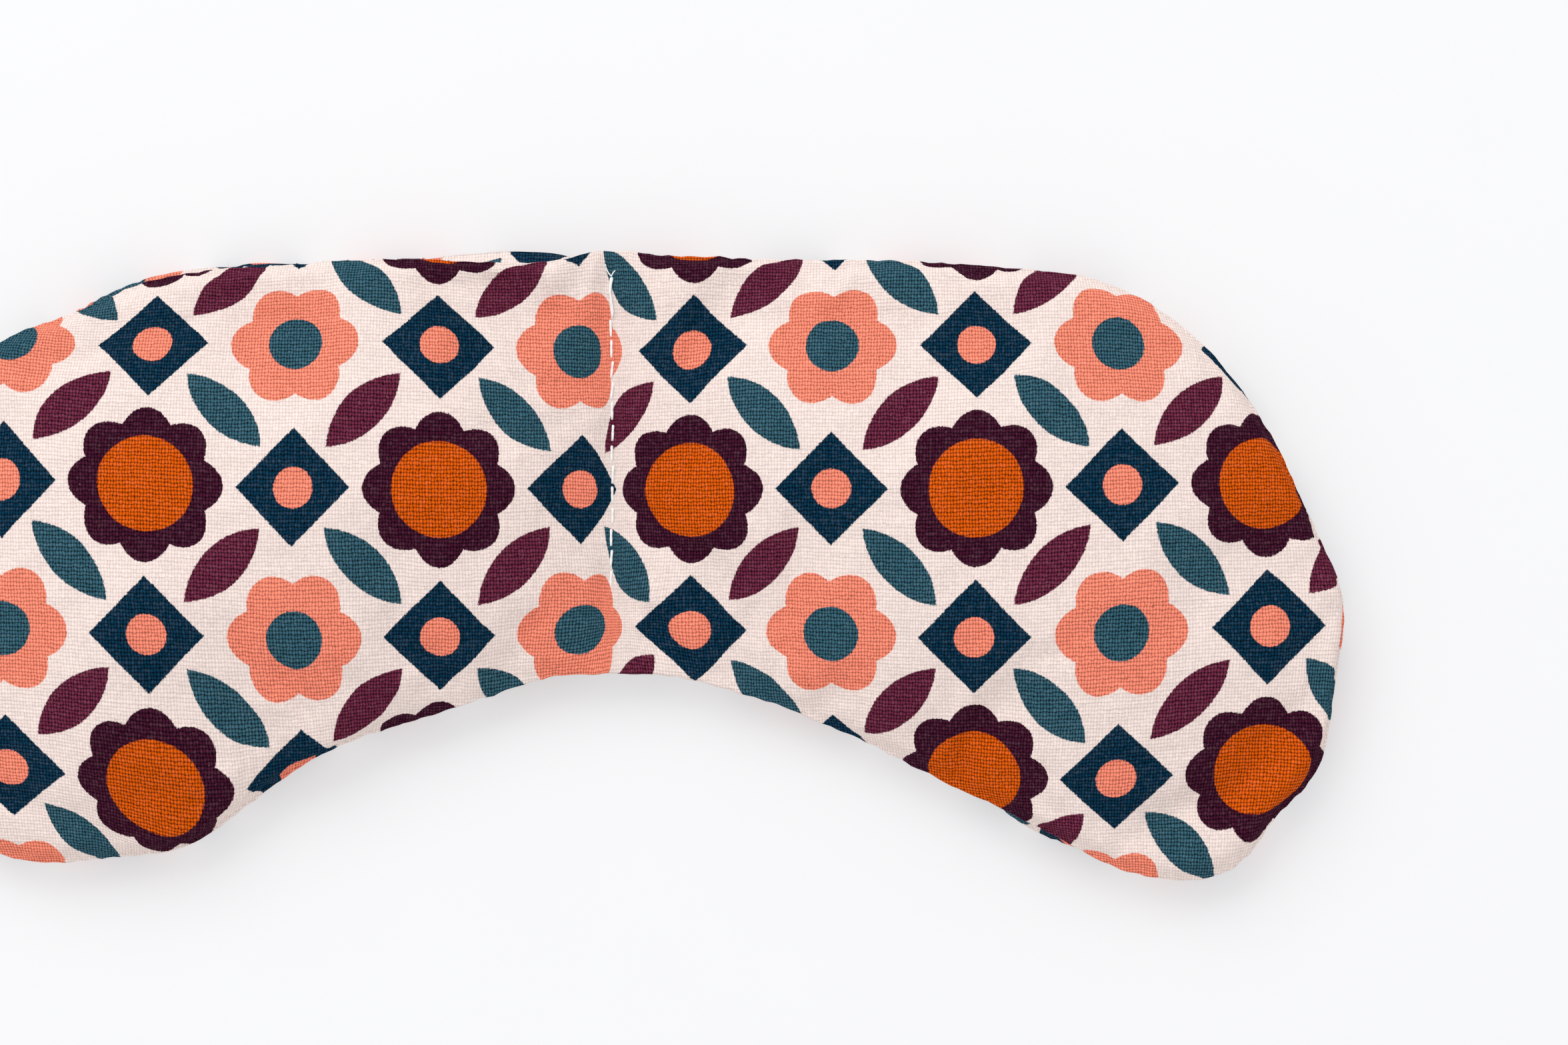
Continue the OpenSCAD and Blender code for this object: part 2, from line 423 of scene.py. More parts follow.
def wrinkle_noise(x, y, size, seed):
    """Smooth random waves about that long, from -1 to 1."""
    draw = np.random.default_rng(seed)
    total = np.zeros_like(x)
    for _ in range(14):
        a = draw.uniform(0, 2 * math.pi)
        k = 2 * math.pi / (size * draw.uniform(0.7, 1.5))
        total += np.cos(k * (x * math.cos(a) + y * math.sin(a)) + draw.uniform(0, 2 * math.pi))
    return total / 5


def settle(side, panel, edge_far):
    """Heights of one panel's outer face above or below the seam's plane."""
    x, y = panel[:, 0], panel[:, 1]
    puff = np.clip(side * panel[:, 2], 0, None)
    layers = CLOTH_T * (1 + smooth((10 - edge_far) / 3)) + GAP
    lumps = 0.16 * wrinkle_noise(x, y, 9, 5 + side) * smooth((edge_far - 4) / 14)
    slope = layers + VALLEY_SLOPE * np.abs(x)
    if side == FRONT:
        room = TOP_Z - SEAM_Z - CLOTH_T
        height = layers + room * puff / puff.max() + lumps
    else:
        height = layers + soft_min(puff * 1.6, np.full_like(puff, BELLY - CLOTH_T - GAP), 2.2)
    height = soft_min(height, slope, 1.6)
    gather = np.cos(2 * math.pi * y / 3.3 + 1.2 * wrinkle_noise(x, y, 22, 3))
    height = height + 0.16 * gather * np.exp(-np.abs(x) / 4) * smooth(np.abs(x) / 1.5)
    # Folds that run from the foot of the stitching to the nose cut
    ray = np.arctan2(x - 1, y + 20)
    pull = np.exp(-(((x - 4.5) / 6) ** 2) - ((y + 13) / 7) ** 2)
    height = height - pull * (1.0 + 0.9 * np.cos(9 * ray + 0.8))
    # Folds that run down from its top
    ray = np.arctan2(x, 54 - y)
    pull = np.exp(-(((x + 5) / 8) ** 2) - ((y - 42) / 8) ** 2)
    height = height - pull * (0.4 + 0.5 * np.cos(11 * ray))
    return np.maximum(height, layers)


def face_normals(points, faces):
    a, b, c = (points[faces[:, k]] for k in range(3))
    return np.cross(b - a, c - a)


def point_normals(points, faces):
    out = np.zeros_like(points)
    normal = face_normals(points, faces)
    for k in range(3):
        np.add.at(out, faces[:, k], normal)
    return out / np.linalg.norm(out, axis=1, keepdims=True)


# ---------------------------------------------------------------- meshes


def make_mesh(name, points, faces, cloth_xy=None, material=None):
    mesh = bpy.data.meshes.new(name)
    mesh.from_pydata((points * MM).tolist(), [], faces)
    mesh.polygons.foreach_set("use_smooth", [True] * len(mesh.polygons))
    if cloth_xy is not None:
        stored = mesh.attributes.new("cloth", "FLOAT_VECTOR", "POINT")
        full = np.c_[cloth_xy, np.zeros(len(cloth_xy))]
        stored.data.foreach_set("vector", full.astype(np.float32).ravel())
    mesh.update()
    made = bpy.data.objects.new(name, mesh)
    bpy.context.scene.collection.objects.link(made)
    if material is not None:
        mesh.materials.append(material)
    return made


def strip(a, b):
    """Quads between two closed rows of points."""
    n = len(a)
    return [[a[i], a[(i + 1) % n], b[(i + 1) % n], b[i]] for i in range(n)]


def cover(name, side, points, faces, flat, material):
    """One panel as a closed skin of cloth: outer face, rolled fold round the edge, turned-in lip
    and inner face."""
    n = len(points)
    normal = point_normals(points, faces)
    rim = rim_loop(faces)
    ring = points[rim]
    along = soft_loop(np.roll(ring, -1, 0) - np.roll(ring, 1, 0), 2)[:, :2]
    out = np.c_[along[:, 1], -along[:, 0]] * side
    out /= np.linalg.norm(out, axis=1, keepdims=True)
    cut_in = -out

    lift = ring[:, 2] - side * (2 * CLOTH_T + GAP) - SEAM_Z

    def row(outward, height, lifted=1.0):
        z = SEAM_Z + lift * lifted + side * height
        return np.c_[ring[:, :2] + out * outward, z]

    rows, cloth_rows = [], []
    middle = CLOTH_T + GAP
    for turn in np.radians([30, 60, 90, 120, 150, 180]):
        rows.append(row(CLOTH_T * math.sin(turn), middle + CLOTH_T * math.cos(turn)))
        cloth_rows.append(flat[rim] - cut_in * CLOTH_T * turn)
    for inward, height in ((LIP_W, GAP), (LIP_W + 0.1, middle / 2), (LIP_W, middle - GAP)):
        rows.append(row(-inward, height, 0.0))
        cloth_rows.append(flat[rim] - cut_in * (inward + 1.4))
    inner = points - normal * CLOTH_T
    inner[rim] = row(-0.25, middle)
    low = np.minimum(side * (points[:, 2] - SEAM_Z) - CLOTH_T, GAP)
    inner[:, 2] = SEAM_Z + side * np.maximum(side * (inner[:, 2] - SEAM_Z), low)
    m = len(rim)
    every = np.vstack([points, *rows, inner])
    cloth = np.vstack([flat, *cloth_rows, flat])
    starts = [n + k * m + np.arange(m) for k in range(len(rows))]
    inner_at = n + len(rows) * m
    stack = [rim, *starts, rim + inner_at]
    quads = [q for a, b in zip(stack[:-1], stack[1:]) for q in strip(b, a)]
    all_faces = faces.tolist() + quads + (faces[:, ::-1] + inner_at).tolist()
    return make_mesh(name, every, all_faces, cloth, material), inner


def tube(path, radius, sides=10, ply=0.0):
    """Points and faces of a closed thread along a path, with the plies' twist as relief."""
    path = np.asarray(path, float)
    tangent = np.gradient(path, axis=0)
    tangent /= np.linalg.norm(tangent, axis=1, keepdims=True)
    ref = np.array([0.0, 0, 1]) if abs(tangent[0][2]) < 0.9 else np.array([1.0, 0, 0])
    run = np.r_[0, np.cumsum(np.linalg.norm(np.diff(path, axis=0), axis=1))]
    points = [path[0] - tangent[0] * radius * 0.5]
    for i, (p, t) in enumerate(zip(path, tangent)):
        a = np.cross(t, ref)
        a /= np.linalg.norm(a)
        b = np.cross(t, a)
        ref = -b
        thin = 0.72 if i in (0, len(path) - 1) else 1.0
        for k in range(sides):
            w = 2 * math.pi * k / sides
            r = radius * thin * (1 + ply * math.cos(2 * (w - math.pi * run[i] / THREAD_TWIST)))
            points.append(p + r * (math.cos(w) * a + math.sin(w) * b))
    points.append(path[-1] + tangent[-1] * radius * 0.5)
    n = len(path)
    faces = [[0, 1 + k, 1 + (k + 1) % sides] for k in range(sides)]
    for i in range(n - 1):
        a, b = 1 + i * sides, 1 + (i + 1) * sides
        faces += [[a + k, b + k, b + (k + 1) % sides, a + (k + 1) % sides] for k in range(sides)]
    a, end = 1 + (n - 1) * sides, 1 + n * sides
    faces += [[end, a + (k + 1) % sides, a + k] for k in range(sides)]
    return np.array(points), faces


def joined(parts):
    points, faces, at = [], [], 0
    for p, f in parts:
        points.append(p)
        faces += [[i + at for i in q] for q in f]
        at += len(p)
    return np.vstack(points), faces


# ---------------------------------------------------------------- threads


def centre_height(points, y):
    """Height of a panel on the centre line."""
    near = points[np.abs(points[:, 0]) < 0.6]
    near = near[near[:, 1].argsort()]
    return np.interp(y, near[:, 1], near[:, 2])


def centre_thread(name, side, points, material):
    """The row of stitches down the middle, each one dipping into the cloth at its ends."""
    draw = np.random.default_rng(21 + side)
    y_ends = np.unique(np.round(node_points("centre_stitch_front")[:, 1], 3))
    parts = []
    for low, high in zip(y_ends[0::2], y_ends[1::2]):
        shift = draw.uniform(-0.15, 0.15, 2)
        a, b = low + shift[0], high + shift[1]
        t = np.linspace(0, 1, 15)
        y = a + (b - a) * t
        x = 0.1 * math.sin(low / 9) + draw.uniform(-0.12, 0.12) + draw.uniform(-0.3, 0.3) * (t - 0.5)
        lift = THREAD_R * (0.8 - 2.4 * np.abs(2 * t - 1) ** 6) - 0.42 * smooth((2 - y) / 9)
        z = centre_height(points, np.clip(y, a + 0.3, b - 0.3)) + side * lift
        parts.append(tube(np.c_[x, y, z], THREAD_R, 12, 0.1))
    # The start is sewn over twice and leaves two loose ends
    y = np.linspace(y_ends[-1] - 6.6, y_ends[-1] + 0.1, 40)
    swing = 1.1 * (y - y[0])
    sink = 0.5 * (1 - smooth(np.minimum(y - y[0], y[-1] - y) / 0.6))
    z = centre_height(points, y) + side * (THREAD_R + 0.1 * np.cos(swing) - sink)
    parts.append(tube(np.c_[0.17 * np.sin(swing), y, z], 0.17, 12, 0.1))
    top = np.array([0, y_ends[-1] + 0.1, centre_height(points, y_ends[-1])])
    parts.append(whisker(top, (-0.95, 1.9, 0.3 * side), 0.12))
    parts.append(whisker(top, (0.6, 0.9, 0.3 * side), 0.1))
    return make_mesh(name, *joined(parts), material=material)


def whisker(start, reach, radius):
    """A short loose end of thread."""
    t = np.linspace(0, 1, 8)[:, None]
    reach = np.array(reach, float)
    bend = np.array([-reach[1], reach[0], 0]) * 0.18
    return tube(start + reach * t + bend * (t - t * t) * 2, radius, 6)


def edge_path(side, half, rings):
    """The middle of the edge round one pocket, on the inner side of the fold."""
    ring = rings[side]
    order = np.roll(np.arange(len(ring)), -int(np.abs(ring[:, 0] + half * 200).argmin()))
    order = order[half * ring[order, 0] > 6]
    lift = ring[order, 2] - side * (2 * CLOTH_T + GAP) - SEAM_Z
    path = np.c_[ring[order, :2] - edge_out[order] * 1.2, SEAM_Z + 0.8 * lift]
    path[:, 2] += side * (CLOTH_T + GAP + 0.14)
    return path


def top_edge(rings, x):
    """The slit between the two folds on the top edge at x: its place and its outward direction."""
    ring = (rings[FRONT] + rings[BACK]) / 2
    upper = np.where(ring[:, 1] > 0)[0]
    i = upper[np.abs(ring[upper, 0] - x).argmin()]
    return ring[i], np.append(edge_out[i], 0)


def closing_thread(name, rings, material):
    """The ladder stitches that close the filling opening, and two loose thread ends."""
    xs = np.sort(node_points("closing_stitch")[:, 0])
    groups = np.split(xs, np.where(np.diff(xs) > 1)[0] + 1)
    up = np.array([0, 0, 1.0])
    parts = []
    for x in (g.mean() for g in groups):
        at, out = top_edge(rings, x)
        aside = np.array([out[1], -out[0], 0])
        path = [
            at + out * 0.05 + up * 0.62,
            at + out * 0.42 + up * 0.55 + aside * 0.05,
            at + out * 0.56 + up * 0.25 + aside * 0.2,
            at + out * 0.56 - up * 0.25 + aside * 0.4,
            at + out * 0.42 - up * 0.55 + aside * 0.55,
            at + out * 0.05 - up * 0.62 + aside * 0.6,
        ]
        parts.append(tube(resample(spline(np.array(path), 4), 0.12), 0.12, 8, 0.08))
    for x, reach in ((-27, (0.9, 0.8, 0.8)), (-60, (-0.6, 1.1, 0.5))):
        at, out = top_edge(rings, x)
        parts.append(whisker(at + out * 0.3, reach, 0.07))
    return make_mesh(name, *joined(parts), material=material)


def edge_thread(name, side, half, rings, material):
    """The hidden machine stitching that holds a panel to its lip round one pocket."""
    parts = [tube(edge_path(side, half, rings), 0.11, 6)]
    if half > 0 and side == FRONT:
        at, out = top_edge(rings, 84.7)
        parts.append(whisker(at + out * 0.3, (0.8, 1.0, 0.4), 0.07))
    return make_mesh(name, *joined(parts), material=material)


# ---------------------------------------------------------------- node arithmetic


class Value:
    """A number that a material's nodes work out, written as plain arithmetic."""

    def __init__(self, tree, socket):
        self.tree, self.socket = tree, socket

    def op(self, kind, *others, clamp=False):
        node = self.tree.nodes.new("ShaderNodeMath")
        node.operation, node.use_clamp = kind, clamp
        for socket, value in zip(node.inputs, (self, *others)):
            link(self.tree, value, socket)
        return Value(self.tree, node.outputs[0])

    def __add__(self, other):
        return self.op("ADD", other)

    def __sub__(self, other):
        return self.op("SUBTRACT", other)

    def __mul__(self, other):
        return self.op("MULTIPLY", other)

    def times_plus(self, factor, addend, clamp=False):
        return self.op("MULTIPLY_ADD", factor, addend, clamp=clamp)

    def larger(self, other):
        return self.op("MAXIMUM", other)

    def size(self):
        return self.op("ABSOLUTE")

    def wrap(self, low, high):
        return self.op("WRAP", high, low)


def link(tree, value, socket):
    if isinstance(value, Value):
        tree.links.new(value.socket, socket)
    elif hasattr(value, "is_output"):
        tree.links.new(value, socket)
    else:
        socket.default_value = value


def new_material(name, roughness, sheen=0.0):
    material = bpy.data.materials.new(name)
    material.use_nodes = True
    tree = material.node_tree
    shader = next(n for n in tree.nodes if n.type == "BSDF_PRINCIPLED")
    shader.inputs["Roughness"].default_value = roughness
    shader.inputs["Specular IOR Level"].default_value = 0.05
    shader.inputs["Sheen Weight"].default_value = sheen
    return material, tree, shader


def noise(tree, vector, scale, detail=2.0, socket="Fac"):
    node = tree.nodes.new("ShaderNodeTexNoise")
    node.inputs["Scale"].default_value = scale
    node.inputs["Detail"].default_value = detail
    tree.links.new(vector, node.inputs["Vector"])
    return Value(tree, node.outputs[socket]) if socket == "Fac" else node.outputs[socket]


def vector_maths(tree, kind, a, b):
    node = tree.nodes.new("ShaderNodeVectorMath")
    node.operation = kind
    link(tree, a, node.inputs[0])
    link(tree, b, node.inputs[1])
    return node.outputs[0]


def mix_colour(tree, share, a, b, kind="MIX"):
    node = tree.nodes.new("ShaderNodeMix")
    node.data_type = "RGBA"
    node.blend_type = kind
    link(tree, share, node.inputs[0])
    link(tree, a, node.inputs[6])
    link(tree, b, node.inputs[7])
    return node.outputs[2]


def bump(tree, height, distance, strength=1.0):
    node = tree.nodes.new("ShaderNodeBump")
    node.inputs["Strength"].default_value = strength
    node.inputs["Distance"].default_value = distance
    link(tree, height, node.inputs["Height"])
    return node.outputs["Normal"]


# ---------------------------------------------------------------- the print

CREAM = (0.83, 0.692, 0.642, 1)
CORAL = (0.755, 0.204, 0.132, 1)
ORANGE = (0.452, 0.064, 0.001, 1)
PLUM = (0.032, 0.0035, 0.014, 1)
BURGUNDY = (0.087, 0.0115, 0.030, 1)
NAVY = (0.0008, 0.0185, 0.040, 1)
TEAL = (0.020, 0.065, 0.090, 1)
UNDYED = (0.66, 0.56, 0.52, 1)
# Height of the weave's threads that gets the ink's own colour
WEAVE_LEVEL = 0.66


class Print:
    """Draws the repeat: each motif has its own coordinates about its middle, in millimetres."""

    def __init__(self, tree, u, v):
        self.tree, self.u, self.v = tree, u, v
        self.colour = CREAM

    def at(self, x, y):
        half = REPEAT / 2
        u = (self.u - (FLOWER_AT[0] + x)).wrap(-half, half)
        v = (self.v - (FLOWER_AT[1] + y)).wrap(-half, half)
        return u, v

    def ink(self, distance, colour):
        covered = distance.times_plus(-7.0, 0.5, clamp=True)
        self.colour = mix_colour(self.tree, covered, self.colour, colour)

    def dot(self, spot, radius):
        u, v = spot
        return (u * u + v * v).op("SQRT") - radius

    def daisy(self, spot, radius, petals, notch):
        """A round flower. Between the petals its rim is notched by that share of the radius."""
        u, v = spot
        angle = v.op("ARCTAN2", u)
        wave = (angle * (petals / 2)).op("COSINE").size()
        return self.dot(spot, 0.0) - wave.times_plus(notch * radius, (1 - notch) * radius)

    def diamond(self, spot, reach):
        u, v = spot
        return (u.size() + v.size() - reach) * math.sqrt(0.5)

    def leaf(self, spot, length, width, tilt):
        """A pointed leaf, tilted from upright."""
        u, v = spot
        c, s = math.cos(tilt), math.sin(tilt)
        across = u.times_plus(c, v * s)
        along = u.times_plus(-s, v * c)
        radius = (length**2 + width**2) / (4 * width)
        inset = radius - width / 2
        far = across.size() + inset
        return (far * far + along * along).op("SQRT") - radius


def draw_print(tree, u, v):
    """A plain repeat of round flowers, leaves and diamonds, in the photo's colours."""
    p = Print(tree, u, v)
    half = REPEAT / 2

    # Diamonds, each with a dot, between the flowers
    for x, y in [(half, 0), (0, half)]:
        p.ink(p.diamond(p.at(x, y), 8.6), NAVY)
        p.ink(p.dot(p.at(x, y), 3.0), CORAL)

    # Four leaves round each flower, in two colours by turns
    out = REPEAT / 4 + 0.5
    for side_x, side_y in [(1, 1), (-1, 1), (-1, -1), (1, -1)]:
        turn = side_x * side_y
        shape = p.leaf(p.at(side_x * out, side_y * out), 16, 6, turn * math.pi / 4)
        p.ink(shape, TEAL if turn > 0 else BURGUNDY)

    # Two kinds of round flower
    first, second = p.at(0, 0), p.at(half, half)
    p.ink(p.daisy(first, 11.6, 8, 0.17), PLUM)
    p.ink(p.dot(first, 7.2), ORANGE)
    p.ink(p.daisy(second, 10.0, 6, 0.20), CORAL)
    p.ink(p.dot(second, 4.2), TEAL)
    return p.colour


def thread_noise(tree, where, share):
    """A random colour for each crossing of threads, or for each share of one."""
    snapped = vector_maths(tree, "SNAP", where, (WARP_PITCH * share, WEFT_PITCH * share, 1.0))
    white = tree.nodes.new("ShaderNodeTexWhiteNoise")
    white.noise_dimensions = "3D"
    tree.links.new(snapped, white.inputs["Vector"])
    return white.outputs["Color"]


def thread_scatter(tree, where, amount):
    """The cloth coordinates, shaken thread by thread, so that printed edges follow the weave."""
    shake = thread_noise(tree, where, 0.5)
    centred = vector_maths(tree, "SUBTRACT", shake, (0.5, 0.5, 0.5))
    scaled = vector_maths(tree, "MULTIPLY", centred, (amount, amount, 0.0))
    return vector_maths(tree, "ADD", where, scaled)


def split(tree, vector):
    node = tree.nodes.new("ShaderNodeSeparateXYZ")
    tree.links.new(vector, node.inputs[0])
    return Value(tree, node.outputs[0]), Value(tree, node.outputs[1])


def weave(u, v):
    """Plain weave: height of the threads, from 0 in the holes to 1 on the crowns."""
    warp = (u * (math.pi / WARP_PITCH)).op("SINE")
    weft = (v * (math.pi / WEFT_PITCH)).op("SINE")
    warp_rise = weft * warp.op("SIGN")
    weft_rise = warp * weft.op("SIGN") * -1.0
    warp_round = warp.size().op("SQRT")
    weft_round = weft.size().op("SQRT")
    warp_top = warp_rise.times_plus(RISE, warp_round * (1 - RISE))
    weft_top = weft_rise.times_plus(RISE, weft_round * (1 - RISE))
    return warp_top.larger(weft_top)


def printed_cotton():
    material, tree, shader = new_material("printed_cotton", 0.92)
    stored = tree.nodes.new("ShaderNodeAttribute")
    stored.attribute_name = "cloth"
    where = stored.outputs["Vector"]
    wander = noise(tree, where, 0.05, 2.0, "Color")
    bent = vector_maths(tree, "SUBTRACT", wander, (0.5, 0.5, 0.5))
    bent = vector_maths(tree, "MULTIPLY", bent, (1.2, 1.2, 0.0))
    bent = vector_maths(tree, "ADD", where, bent)
    uneven = noise(tree, bent, 1.3, 1.0, "Color")
    uneven = vector_maths(tree, "SUBTRACT", uneven, (0.5, 0.5, 0.5))
    uneven = vector_maths(tree, "MULTIPLY", uneven, (0.4, 0.5, 0.0))
    u, v = split(tree, vector_maths(tree, "ADD", bent, uneven))
    threads = weave(u, v)
    pu, pv = split(tree, thread_scatter(tree, bent, 0.14))
    colour = draw_print(tree, pu, pv)

    weft_run = vector_maths(tree, "MULTIPLY", bent, (0.14, 1.74, 1.0))
    warp_run = vector_maths(tree, "MULTIPLY", bent, (1.7, 0.22, 1.0))
    slub = noise(tree, weft_run, 1.0, 2.0).times_plus(1.5, noise(tree, warp_run, 1.0, 2.0) * 0.7) - 1.1
    crossing = split(tree, thread_noise(tree, bent, 1.0))[0] - 0.5
    grain = crossing.times_plus(0.85, slub)
    crown = threads * threads
    wear = (crossing + slub).times_plus(0.018, crown * 0.006, clamp=True)
    colour = mix_colour(tree, wear, colour, UNDYED)
    lint = noise(tree, bent, 1.7, 1.0).times_plus(16.0, -12.9, clamp=True)
    colour = mix_colour(tree, lint * 0.4, colour, UNDYED)
    # The paler the ink, the less its threads stand out
    tone = tree.nodes.new("ShaderNodeSeparateColor")
    tree.links.new(colour, tone.inputs[0])
    pale = Value(tree, tone.outputs[1]).times_plus(2.0, Value(tree, tone.outputs[0]))
    contrast = pale.times_plus(-1.72, 3.5).larger(0.38)
    depth = contrast.times_plus(0.05, 0.09)
    # Painted shade in the holes between the threads and painted highlight on their crowns, from the
    # weave's height; on dark inks the paler crowns are partly the dye's own
    shade = (threads - WEAVE_LEVEL) * contrast
    shade = (shade + grain.times_plus(depth, 0.98)).larger(0.08)
    grey = tree.nodes.new("ShaderNodeCombineColor")
    for socket in grey.inputs[:3]:
        tree.links.new(shade.socket, socket)
    colour = mix_colour(tree, 1.0, colour, grey.outputs[0], "MULTIPLY")
    tree.links.new(colour, shader.inputs["Base Color"])
    relief = threads + grain
    tree.links.new(bump(tree, relief, 0.00011, 0.9), shader.inputs["Normal"])
    return material


def sewing_thread():
    material, tree, shader = new_material("sewing_thread", 0.7, 0.2)
    place = tree.nodes.new("ShaderNodeTexCoord").outputs["Object"]
    fibre = noise(tree, place, 2600.0, 3.0)
    grey = mix_colour(tree, fibre, (0.80, 0.79, 0.77, 1), (0.95, 0.94, 0.92, 1))
    tree.links.new(grey, shader.inputs["Base Color"])
    tree.links.new(bump(tree, fibre, 0.00004, 0.6), shader.inputs["Normal"])
    return material


def seed_material():
    material, tree, shader = new_material("flax_seeds", 0.45)
    place = tree.nodes.new("ShaderNodeTexCoord").outputs["Object"]
    cells = tree.nodes.new("ShaderNodeTexVoronoi")
    cells.inputs["Scale"].default_value = 420
    tree.links.new(place, cells.inputs["Vector"])
    seed_tone = split(tree, cells.outputs["Color"])[0]
    colour = mix_colour(tree, seed_tone, (0.16, 0.062, 0.024, 1), (0.30, 0.13, 0.05, 1))
    tree.links.new(colour, shader.inputs["Base Color"])
    height = Value(tree, cells.outputs["Distance"]) * -1.0
    tree.links.new(bump(tree, height, 0.0009, 0.9), shader.inputs["Normal"])
    return material


def table_top():
    material, tree, shader = new_material("pale_table", 0.8)
    place = tree.nodes.new("ShaderNodeTexCoord").outputs["Object"]
    grain = noise(tree, place, 40.0, 4.0)
    colour = mix_colour(tree, grain, (0.475, 0.475, 0.48, 1), (0.485, 0.485, 0.49, 1))
    tree.links.new(colour, shader.inputs["Base Color"])
    shader.inputs["Emission Color"].default_value = (0.99, 0.99, 1.0, 1)
    shader.inputs["Emission Strength"].default_value = 0.43
    return material


# ---------------------------------------------------------------- seeds


def seed_core(name, half, front, back, faces, edge_far, material):
    """The seeds of one pocket, as far out as the cloth and its lips let them lie."""
    room = (half * front[:, 0] > 4.5) & (edge_far > LIP_W + 4.5)
    kept = faces[room[faces].all(1)]
    used = np.unique(kept)
    new = np.full(len(front), -1)
    new[used] = np.arange(len(used))
    top = front[used] - [0, 0, 0.3]
    low = back[used] + [0, 0, 0.3]
    top[:, 2] = np.maximum(top[:, 2], SEAM_Z + 0.2)
    low[:, 2] = np.minimum(low[:, 2], SEAM_Z - 0.2)
    tri = new[kept]
    m = len(used)
    directed = np.vstack([tri[:, [0, 1]], tri[:, [1, 2]], tri[:, [2, 0]]])
    count = Counter(map(tuple, np.sort(directed, 1).tolist()))
    wall = [[b, a, a + m, b + m] for a, b in directed.tolist() if count[(min(a, b), max(a, b))] == 1]
    every = tri.tolist() + (tri[:, ::-1] + m).tolist() + wall
    return make_mesh(name, np.vstack([top, low]), every, material=material)


# ---------------------------------------------------------------- stage, light and camera


def area_light(name, place, aim, size, power):
    lamp = bpy.data.lights.new(name, "AREA")
    lamp.shape = "RECTANGLE"
    lamp.size, lamp.size_y = size
    lamp.energy = power
    made = bpy.data.objects.new(name, lamp)
    made.location = place
    made.rotation_euler = (Vector(aim) - Vector(place)).to_track_quat("-Z", "Y").to_euler()
    bpy.context.scene.collection.objects.link(made)


def studio():
    floor = bpy.data.meshes.new("floor")
    w = 4.0
    floor.from_pydata([(-w, -w, 0), (w, -w, 0), (w, w, 0), (-w, w, 0)], [], [(0, 1, 2, 3)])
    floor.materials.append(table_top())
    ground = bpy.data.objects.new("floor", floor)
    ground.location.z = -0.0002
    bpy.context.scene.collection.objects.link(ground)
    world = bpy.data.worlds.new("studio")
    bpy.context.scene.world = world
    world.use_nodes = True
    sky = world.node_tree.nodes["Background"]
    sky.inputs["Color"].default_value = (0.985, 0.99, 1.0, 1)
    sky.inputs["Strength"].default_value = 0.86
    area_light("window", (-0.6, 1.2, 1.2), (0, 0, 0), (1.5, 1.2), 15.0)
    bpy.context.scene.view_settings.view_transform = "Standard"


def camera():
    lens, sensor, wide = 85.0, 36.0, 0.2476
    data = bpy.data.cameras.new("camera")
    data.lens, data.sensor_width = lens, sensor
    made = bpy.data.objects.new("camera", data)
    made.location = (0.0272, 0.0065, SEAM_Z * MM + wide * lens / sensor)
    bpy.context.scene.collection.objects.link(made)
    bpy.context.scene.camera = made


# ---------------------------------------------------------------- build


def outward(edge):
    """Unit directions out of the bag round its edge."""
    out = np.roll(edge, -1, 0) - np.roll(edge, 1, 0)
    out = soft_loop(np.c_[out[:, 1], -out[:, 0]], 3)
    return out / np.linalg.norm(out, axis=1, keepdims=True)


def nearest_edge(points, edge):
    """How far each point is from the edge, and the closest point of the edge."""
    gaps = [np.linalg.norm(p[:, None] - edge[None], axis=2) for p in np.array_split(points, 20)]
    return np.concatenate([g.min(1) for g in gaps]), np.concatenate([g.argmin(1) for g in gaps])


def print_place(points):
    """Where each point lies on the printed cloth, with what the centre stitching draws in."""
    placed = points + np.c_[TUCK * np.tanh(points[:, 0] / 2.5), np.zeros(len(points))]
    from_foot = points - GATHER_AT
    return placed + 0.4 * from_foot * np.exp(-(from_foot**2).sum(1) / GATHER_W**2)[:, None]


def panel_shape(side, panel):
    """The outer face of one panel, from its simulated points."""
    shape = refine(panel)
    shape[:, 2] = SEAM_Z + side * settle(side, shape, edge_far)
    shape = roll_edge(side, shape, roll_at(edge)[closest], edge_out[closest], edge_far)
    ripple = 0.13 * wrinkle_noise(edge[:, 0], edge[:, 1], 3.2, 31)
    shape[rim, :2] += edge_out * ripple[:, None]
    shape[:, 2] = leave_room_to_fold(side, shape[:, 2], shape[:, 0])
    # It rests on the table
    shape[:, 2] = np.maximum(shape[:, 2], 0.0)
    return shape


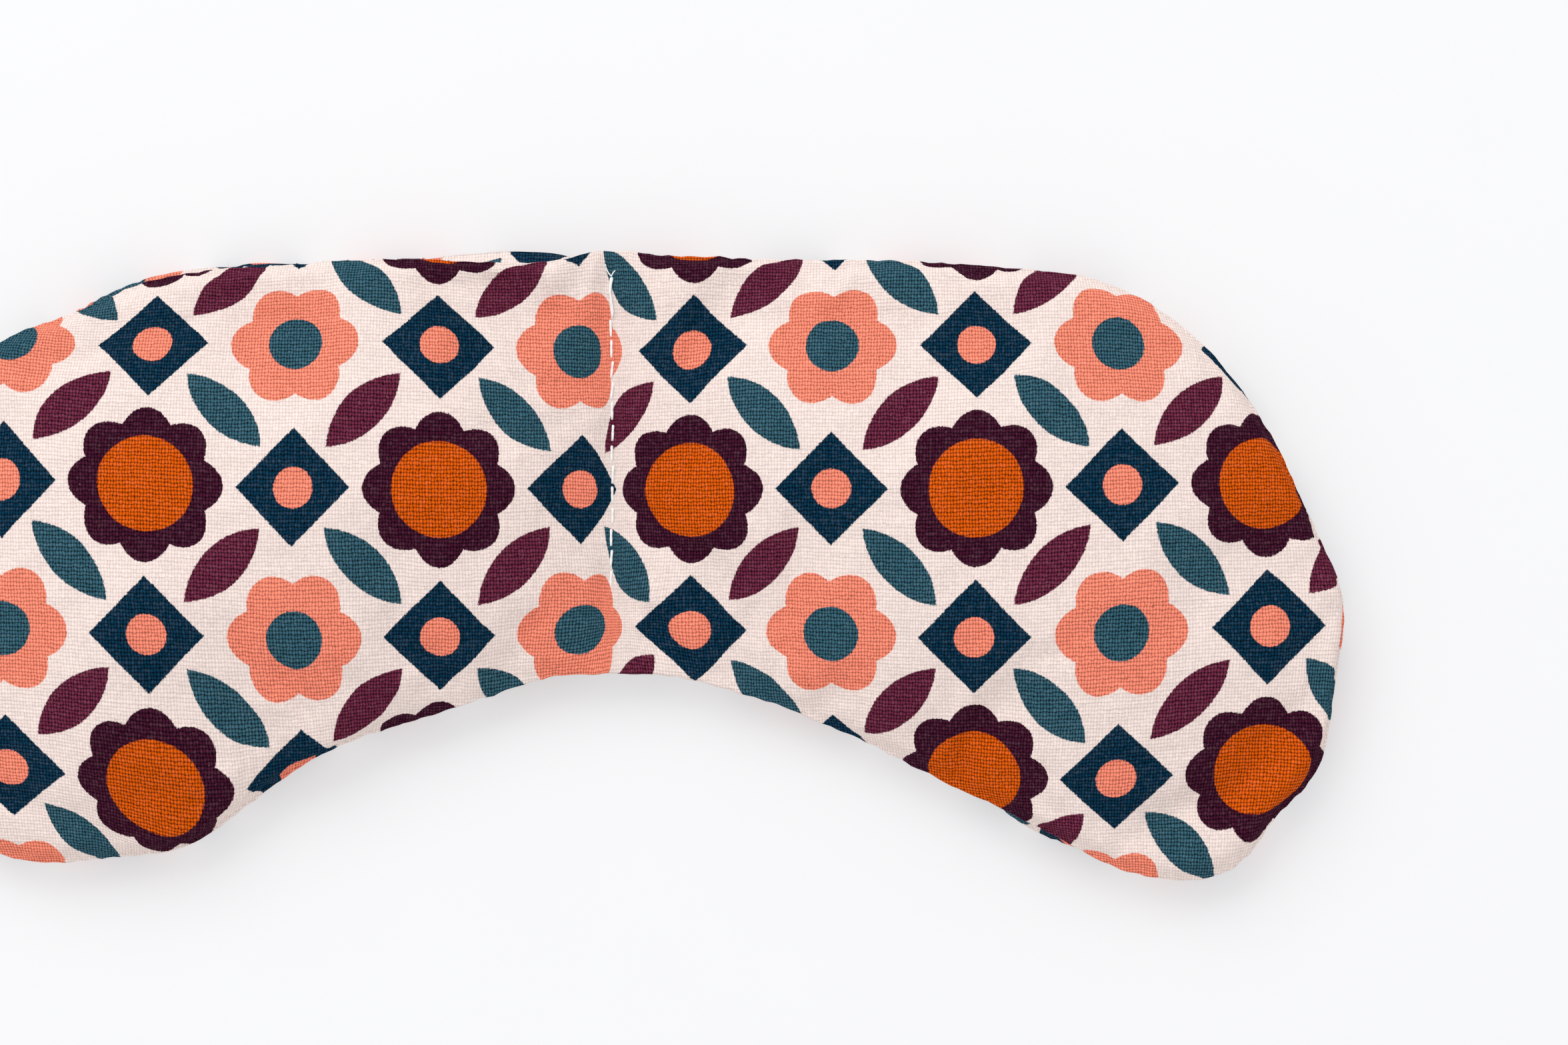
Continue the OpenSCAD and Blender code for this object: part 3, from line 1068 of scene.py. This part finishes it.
def leave_room_to_fold(side, z, x):
    """Heights that keep one pocket clear of the other when the pillow is folded as far as it goes."""
    half_open = math.radians(180 - frame["joints"][0]["range_deg"][1]) / 2
    room = math.tan(half_open) * np.maximum(np.abs(x), BEND_W) - FOLD_GAP
    return SEAM_Z + side * soft_min(side * (z - SEAM_Z), room, 0.4)


def bend_over_hinge(piece):
    """Bakes a piece's placement into its mesh."""
    reach, height = BEND_W * MM, SEAM_Z * MM
    -reach
    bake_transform(piece)


def build_panel(side, label, shape):
    """One cover and its row of centre stitches. Gives the cover's inner face."""
    turned = fine_faces if side == FRONT else fine_faces[:, ::-1]
    printed = print_place(fine_flat) + PRINT_SHIFT[side]
    piece, inner = cover("cover_" + label, side, shape, turned, printed, cotton)
    bend_over_hinge(piece)
    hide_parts(f"{label}_panel_right", f"{label}_panel_left")
    if side == FRONT:
        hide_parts("centre_seam")

    row = centre_thread("centre_stitches_" + label, side, shape, thread)
    bend_over_hinge(row)
    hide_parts("centre_stitch_" + label)
    return inner


def build_edge_threads(rings):
    for side, label in LABELS.items():
        for half, where, body in POCKETS:
            hidden = edge_thread(f"edge_stitches_{label}_{where}", side, half, rings, thread)
            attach(hidden, body)
            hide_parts(f"edge_stitch_{label}_{where}")
    closing = closing_thread("closing_stitches", rings, thread)
    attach(closing, LEFT_BODY)
    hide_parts("closing_stitch")


def build_seeds(inners):
    for half, where, body in POCKETS:
        core = seed_core("seeds_" + where, half, inners[FRONT], inners[BACK], fine_faces, edge_far, seeds)
        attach(core, body)
        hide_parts("seed_fill_" + where)


# The bag, blown up, brought onto the outline and refined
flat, faces, loop, centre = flat_panel(HALF_EDGE)
panels = onto_outline(flat, fill_bag(flat, faces, loop, centre), loop, centre)
refine, fine_faces = loop_weights(faces, len(flat))
fine_flat = refine(flat)
rim = rim_loop(fine_faces)
edge = fine_flat[rim]
edge_out = outward(edge)
edge_far, closest = nearest_edge(fine_flat, edge)

# The pieces
cotton = printed_cotton()
thread = sewing_thread()
seeds = seed_material()
skins = {side: panel_shape(side, panel) for side, panel in zip(LABELS, panels)}
inners = {side: build_panel(side, label, skins[side]) for side, label in LABELS.items()}
build_edge_threads({side: skin[rim] for side, skin in skins.items()})
build_seeds(inners)

studio()
camera()
